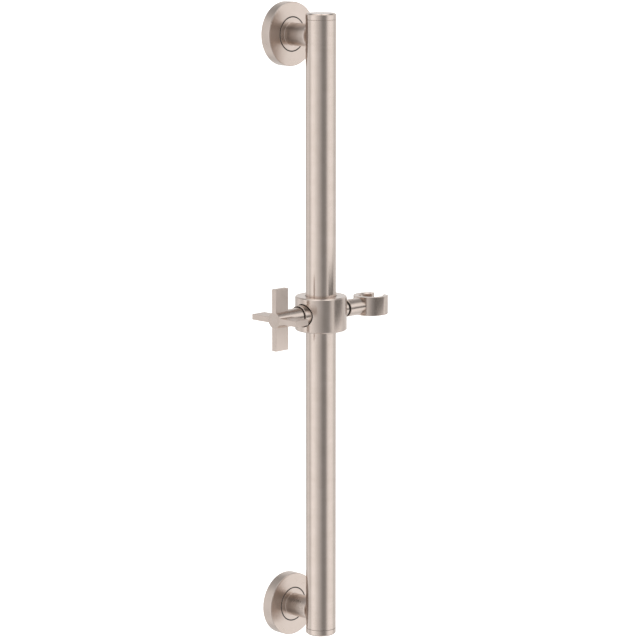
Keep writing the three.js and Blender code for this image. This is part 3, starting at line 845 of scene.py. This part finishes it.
# %% Join the stem and the cradle
hook_in, hook_out = span("hook", 0)
cradle_r = length_of("hook", 1) / 2
cradle_height = length_of("hook", 2)
stem_r = 9.1
bore_top_r = 12.3
bore_bottom_r = 11.4
lead_in = 1.2
mouth = 15.0
cradle_half = cradle_height / 2
at_cradle = (cradle_x, rail_y, slider_z)
disc = [
    (0, -cradle_half, 0), (cradle_r, -cradle_half, 0.5),
    (cradle_r, cradle_half, 0.5), (0, cradle_half, 0),
]
hook = placed(turned("cradle_hook", disc, cradle_nickel, 160), at_cradle)
stem_end = cradle_x - bore_bottom_r + 2
stem = [(0, hook_in, 0), (stem_r, hook_in, 0.7), (stem_r, stem_end, 0), (0, stem_end, 0)]
cut(hook, placed(turned("stem", stem, side_nickel, 112), on_slider, RIGHT), "UNION")
print(f"cradle {2 * cradle_r:.1f} mm across, {cradle_height:.1f} mm high")

# %% [markdown]
# The bore narrows downwards, so that the cone of a hand shower wedges in it, and it has a lead-in at
# the top. The stem's way is stepped, and the swivel screw's head rests on the step.

# %% Bore the cradle and the stem
screw_seat_depth = 14.5
screw_seat = hook_in + screw_seat_depth
screw_way_r, screw_head_way_r = 3.4, 6.0
slope = (bore_top_r - bore_bottom_r) / cradle_height
bore = [
    (0, -cradle_half - 1, 0), (bore_bottom_r - slope, -cradle_half - 1, 0),
    (bore_top_r - slope * lead_in, cradle_half - lead_in, 0),
    (bore_top_r + lead_in, cradle_half, 0), (bore_top_r + lead_in, cradle_half + 1, 0),
    (0, cradle_half + 1, 0),
]
cut(hook, placed(turned("drill", bore, cradle_nickel, 128), at_cradle))
way = [
    (0, hook_in - 1, 0), (screw_way_r, hook_in - 1, 0), (screw_way_r, screw_seat, 0),
    (screw_head_way_r, screw_seat, 0), (screw_head_way_r, cradle_x, 0), (0, cradle_x, 0),
]
cut(hook, placed(turned("drill", way, side_nickel, 64), on_slider, RIGHT))
print(f"bore {2 * bore_top_r:.1f} mm at the top and {2 * bore_bottom_r:.1f} mm at the bottom")

# %% [markdown]
# The mouth lets the hose through. A second cut takes the two tips off flat, and then every sharp edge
# of the casting is broken at once.

# %% Open the mouth and break the edges
mouth_cut = (cradle_x, hook_out + 5, mouth)
tip_cut = (hook_out, hook_out + 8, 60)
for low, high, width in (mouth_cut, tip_cut):
    middle = Matrix.Translation(Vector(((low + high) / 2, rail_y, slider_z)) * MM)
    cut(hook, box_cutter((high - low, width, 2 * cradle_height), middle, cradle_nickel))
edge = hook.modifiers.new("broken_edges", "BEVEL")
edge.width = 0.3 * MM
edge.segments = 2
edge.limit_method = "ANGLE"
edge.angle_limit = math.radians(40)
finish_piece(settle(bake(hook)), "hook", ["hook"])

# %% [markdown]
# ## The wall screws
#
# Four wood screws hold the brackets. The screw is turned with a countersunk head, and a cross is
# pressed into it.

# %% Turn one wall screw
screw_nodes = [f"{end}_wall_screw_{which}" for end in ("lower", "upper") for which in ("a", "b")]
screw_length = length_of(screw_nodes[0], 1)
screw_head_r = length_of(screw_nodes[0], 0) / 2
screw_core_r = 1.35
screw_thread_r = 2.1
screw_pitch = 1.8
screw_tip = 4.0
screw_head_depth = 2.2
screw_profile = [
    (0, -screw_length, 0), (screw_core_r, -screw_length + screw_tip, 0.2),
    (screw_core_r, -screw_head_depth - 2, 0.1), (screw_thread_r, -screw_head_depth, 0.3),
    (screw_head_r, 0, 0.1), (0, 0, 0),
]
one_screw = turned("one_screw", screw_profile, stainless, 48)
cross_blade = (4.2, 0.9, 2.6)
for turn in (0, math.pi / 2):
    cut(one_screw, box_cutter(cross_blade, Matrix.Rotation(turn, 4, "Z"), stainless))
print(f"screw {screw_length:.1f} mm long, head {2 * screw_head_r:.1f} mm across")

# %% [markdown]
# ## The thread
#
# The thread is a ribbon of triangular section that climbs around the core. It thins out at both ends,
# so that it seems to grow from the core as a rolled thread does.

# %% Wind the thread
thread_half = 0.42


def helix(name, radius, low, high, pitch, depth, steps=24):
    """A thread with a sharp crest. low and high are its ends, and steps its points in each turn."""
    turns = (high - low) / pitch
    count = int(turns * steps)
    vertices = []
    for i in range(count + 1):
        t = i / count
        angle = math.tau * turns * t
        height = low + (high - low) * t
        fade = min(1.0, 8 * t, 8 * (1 - t))
        rise = max(0.02, depth * fade)
        out = Vector((math.cos(angle), math.sin(angle), 0))
        base = max(0.1, radius * min(1.0, (height - low + 0.6) / screw_tip)) - 0.05
        for away, shift in ((base, -thread_half), (base + rise, 0.0), (base, thread_half)):
            vertices.append((out * away + Vector((0, 0, height + shift * max(0.3, fade)))) * MM)
    faces = []
    for i in range(count):
        for k in range(3):
            a, b = 3 * i + k, 3 * i + (k + 1) % 3
            faces.append((a, b, b + 3, a + 3))
    faces += [(0, 2, 1), (3 * count, 3 * count + 1, 3 * count + 2)]
    return make_object(name, vertices, (), faces)


thread_low, thread_high = -screw_length + 0.6, -screw_head_depth - 3
thread_depth = screw_thread_r - screw_core_r
thread = helix("thread", screw_core_r, thread_low, thread_high, screw_pitch, thread_depth)
thread.data.materials.append(stainless)
settle(thread)
joined = bmesh.new()
joined.from_mesh(one_screw.data)
joined.from_mesh(thread.data)
joined.to_mesh(one_screw.data)
joined.free()
bpy.data.objects.remove(thread)
print(f"thread {2 * screw_thread_r:.1f} mm across with {screw_pitch} mm pitch")

# %% [markdown]
# ## Four screws from one
#
# The screws are alike, so a tree puts a copy of the one screw on each point where the CAD has a screw's
# head.

# %% Put a screw in every hole
def points_tree(instance):
    tree, given = new_tree("copy_to_points", {"Material": ("NodeSocketMaterial", None)})
    source = add(tree, "GeometryNodeObjectInfo", {"Object": instance})
    copies = add(tree, "GeometryNodeInstanceOnPoints", {
        "Points": given.outputs["Geometry"], "Instance": source.outputs["Geometry"],
    })
    end_tree(tree, copies.outputs["Instances"], given.outputs["Material"])
    return tree


placed(one_screw, (0, 0, 0), OFF_WALL)
heads = [Vector((0, span(n, 1)[0], sum(span(n, 2)) / 2)) * MM for n in screw_nodes]
screws = grow(make_object("wall_screws", heads), points_tree(one_screw), {"Material": stainless})
bpy.data.objects.remove(one_screw)
finish_piece(screws, "rail", screw_nodes)

# %% [markdown]
# ## The CAD pieces that stay
#
# The pieces that the flanges, the ring and the stem hide keep their CAD shape, and each gets its own
# material by its slot in the record.

# %% Dress the CAD nodes that stay
slot_finish = {
    "stainless": stainless, "brass": brass, "bronze": bronze, "rubber": rubber, "foam": foam,
    "nylon": nylon, "brushed_nickel": rail_nickel, "satin_nickel": side_nickel,
}
for part in frame["record"]["subparts"]:
    node = frame["nodes"][part["node"]]
    node.data.materials.clear()
    node.data.materials.append(slot_finish[part["material_slot"]])
stayed = [n for n, o in frame["nodes"].items() if not o.hide_render]
print(len(stayed), "CAD nodes stay")

# %% [markdown]
# ## The studio
#
# Metal shows its surroundings more than its own colour. The studio is a white room with soft panels
# around the object and one dark flag to the right of the camera. The flag gives the tube its dark
# stripe. Each line below is a place, its angle in degrees and its brightness: `studio` goes around the
# object from the camera's side of the room, and `ceiling` goes from the table to the panel overhead.

# %% Plan the studio
camera_turn = math.radians(45.06)
studio = [
    ("far side", -180, 0.86), ("left rear edge", -140, 0.66), ("left rim panel", -112, 0.98),
    ("left seam", -93, 0.70), ("left panel", -72, 1.22), ("left panel's middle", -50, 1.14),
    ("falling off", -28, 0.84), ("beside the camera", -6, 0.56), ("dark flag", 14, 0.30),
    ("flag's far edge", 36, 0.33), ("right panel starts", 56, 1.02), ("right panel", 75, 1.16),
    ("right panel ends", 100, 1.08), ("right seam", 118, 0.72), ("right rear", 140, 0.84),
    ("far side", 180, 0.86),
]
ceiling = [
    ("table", -90, 0.95), ("below the horizon", -30, 1.0), ("panel tops", 32, 1.0),
    ("gap above the panels", 41, 0.42), ("gap above the panels", 50, 0.42),
    ("overhead panel", 62, 1.25), ("overhead panel", 90, 1.45),
]
brightest = max(level for _, _, level in studio)
ceiling_top = max(level for _, _, level in ceiling)
print(f"panels up to {brightest}, ceiling up to {ceiling_top}")

# %% [markdown]
# ## The room in the world
#
# The room is drawn in the world's node tree. Two angles of each direction are measured, around and up,
# and a ramp gives the brightness at each. The two are multiplied. The camera itself sees only white.

# %% Light the studio
world = bpy.data.worlds.new("studio")
bpy.context.scene.world = world
world.use_nodes = True
room = world.node_tree
room.nodes.clear()
direction = add(room, "ShaderNodeTexCoord")
turned_room = add(room, "ShaderNodeVectorRotate", {
    "Vector": direction.outputs["Generated"], "Angle": camera_turn,
}, rotation_type="Z_AXIS")
side = add(room, "ShaderNodeSeparateXYZ", {"Vector": turned_room.outputs["Vector"]})
front = add(room, "ShaderNodeMath", {0: side.outputs["Y"], 1: -1.0}, operation="MULTIPLY")
around = add(room, "ShaderNodeMath", {
    0: side.outputs["X"], 1: front.outputs["Value"],
}, operation="ARCTAN2")
share = add(room, "ShaderNodeMapRange", {
    "Value": around.outputs["Value"], "From Min": -math.pi, "From Max": math.pi,
})
panels = add(room, "ShaderNodeValToRGB", {"Fac": share.outputs["Result"]})


def fill_ramp(ramp, steps, low, high, top):
    """Puts named brightness steps on a ramp. low and high are the angles at its two ends."""
    stops = ramp.color_ramp.elements
    while len(stops) < len(steps):
        stops.new(0.5)
    for stop, (_, degrees, _) in zip(stops, steps):
        stop.position = (degrees - low) / (high - low)
    for stop, (_, _, level) in zip(stops, steps):
        stop.color = (level / top,) * 3 + (1.0,)


fill_ramp(panels, studio, -180, 180, brightest)
height_of_view = add(room, "ShaderNodeMath", {0: side.outputs["Z"]}, operation="ARCSINE")
height_share = add(room, "ShaderNodeMapRange", {
    "Value": height_of_view.outputs["Value"], "From Min": -math.pi / 2, "From Max": math.pi / 2,
})
overhead = add(room, "ShaderNodeValToRGB", {"Fac": height_share.outputs["Result"]})
fill_ramp(overhead, ceiling, -90, 90, ceiling_top)
both = add(room, "ShaderNodeMix", {
    "Factor": 1.0, "A": panels.outputs["Color"], "B": overhead.outputs["Color"],
}, data_type="RGBA", blend_type="MULTIPLY")
seen = add(room, "ShaderNodeLightPath")
lamp = add(room, "ShaderNodeBackground", {
    "Color": both.outputs["Result"], "Strength": brightest * ceiling_top,
})
white = add(room, "ShaderNodeBackground", {"Color": (1, 1, 1, 1), "Strength": 1.0})
shown = add(room, "ShaderNodeMixShader", {
    0: seen.outputs["Is Camera Ray"], 1: lamp.outputs["Background"], 2: white.outputs["Background"],
})
add(room, "ShaderNodeOutputWorld", {"Surface": shown.outputs["Shader"]})
print("studio panels:", len(studio))

# %% [markdown]
# ## The floor
#
# The bar hangs on a wall, so the floor is well below it. It is plain and pale, lit evenly from inside
# like a light table so that it stays white, and it is hidden from reflections, which belong to the
# panels.

# %% Lay the floor
floor_drop = 900.0
floor_half = 60000.0
corner = floor_half * MM
floor_z = (lower_post_z - floor_drop) * MM
floor = make_object("floor", [
    (-corner, -corner, floor_z), (corner, -corner, floor_z),
    (corner, corner, floor_z), (-corner, corner, floor_z),
], (), [(0, 1, 2, 3)])


def lit_from_inside(name, hex_colour, glow):
    """A dull surface that gives off an even white light of its own."""
    material, tree, shader = principled(name)
    shader.inputs["Base Color"].default_value = linear(hex_colour)
    shader.inputs["Roughness"].default_value = 0.9
    shader.inputs["Emission Color"].default_value = (1, 1, 1, 1)
    shader.inputs["Emission Strength"].default_value = glow
    return material, tree, shader


floor.data.materials.append(lit_from_inside("pale_studio_floor", "#F4F2EF", 0.9)[0])
floor.visible_glossy = False
print(f"floor {floor_drop:.0f} mm below the lower post")

# %% [markdown]
# ## A grey card for soft darkness
#
# A polished shape looks flat when everything around it is bright. A studio sets a grey card near it, so
# that a soft darkness lies on the metal. This card is gauze that thins out towards its edges, and it
# stands in front of the hook. Only reflections see it. Each edge is a pair: where the gauze begins and
# where it is full.

# %% Hang the grey card
card_y = -180.0
card_left, card_right = (12.0, 32.0), (236.0, 214.0)
card_low, card_high = (slider_z - 44, slider_z - 20), (slider_z + 44, slider_z - 4)
card = make_object("grey_card", [
    Vector((x, card_y, z)) * MM
    for x, z in ((card_left[0], card_low[0]), (card_right[0], card_low[0]),
                 (card_right[0], card_high[0]), (card_left[0], card_high[0]))
], (), [(0, 1, 2, 3)])
grey, grey_tree, grey_shader = lit_from_inside("grey_gauze", "#3A3734", 0.14)
spot = add(grey_tree, "ShaderNodeTexCoord")
spot_axes = add(grey_tree, "ShaderNodeSeparateXYZ", {"Vector": spot.outputs["Object"]})
cover = 1.0
for axis, (begins, full) in (("X", card_left), ("X", card_right), ("Z", card_low), ("Z", card_high)):
    fade = add(grey_tree, "ShaderNodeMapRange", {
        "Value": spot_axes.outputs[axis], "From Min": begins * MM, "From Max": full * MM,
    }, interpolation_type="SMOOTHSTEP")
    faded = add(grey_tree, "ShaderNodeMath", {
        0: fade.outputs["Result"], 1: cover,
    }, operation="MULTIPLY")
    cover = faded.outputs["Value"]
grey_tree.links.new(cover, grey_shader.inputs["Alpha"])
card.data.materials.append(grey)
card.visible_camera = False
card.visible_diffuse = False
card.visible_shadow = False
print(f"card {-card_y + rail_y:.0f} mm in front of the rail's axis")

# %% [markdown]
# ## The camera
#
# The camera looks from the left and slightly above, with a long lens from far away that keeps the tube
# straight. Its place is measured from the middle of the tube. The lens is worked out from how many rows
# of the image an object as large as its distance would fill.

# %% Aim the camera
camera_distance = 3085.6
camera_rise = 553.0
camera_tilt = math.radians(10.007)
camera_swing = math.radians(0.018)
image_rows = 641
focal_rows = 3000.0
middle = Vector((0, rail_y, (tube_low + tube_high) / 2))
back = Vector((-math.sin(camera_turn), -math.cos(camera_turn), 0))
lens = bpy.data.cameras.new("camera")
lens.sensor_width = 36.0
lens.lens = focal_rows / image_rows * lens.sensor_width
lens.clip_end = 200.0
camera = bpy.data.objects.new("camera", lens)
bpy.context.scene.collection.objects.link(camera)
camera.location = (middle + back * camera_distance + Vector((0, 0, camera_rise))) * MM
camera.rotation_euler = (math.pi / 2 - camera_tilt, 0, camera_swing - camera_turn)
bpy.context.scene.camera = camera
bpy.context.scene.view_settings.view_transform = "Standard"
print(f"lens {lens.lens:.1f} mm, camera at {tuple(round(v, 3) for v in camera.location)}")
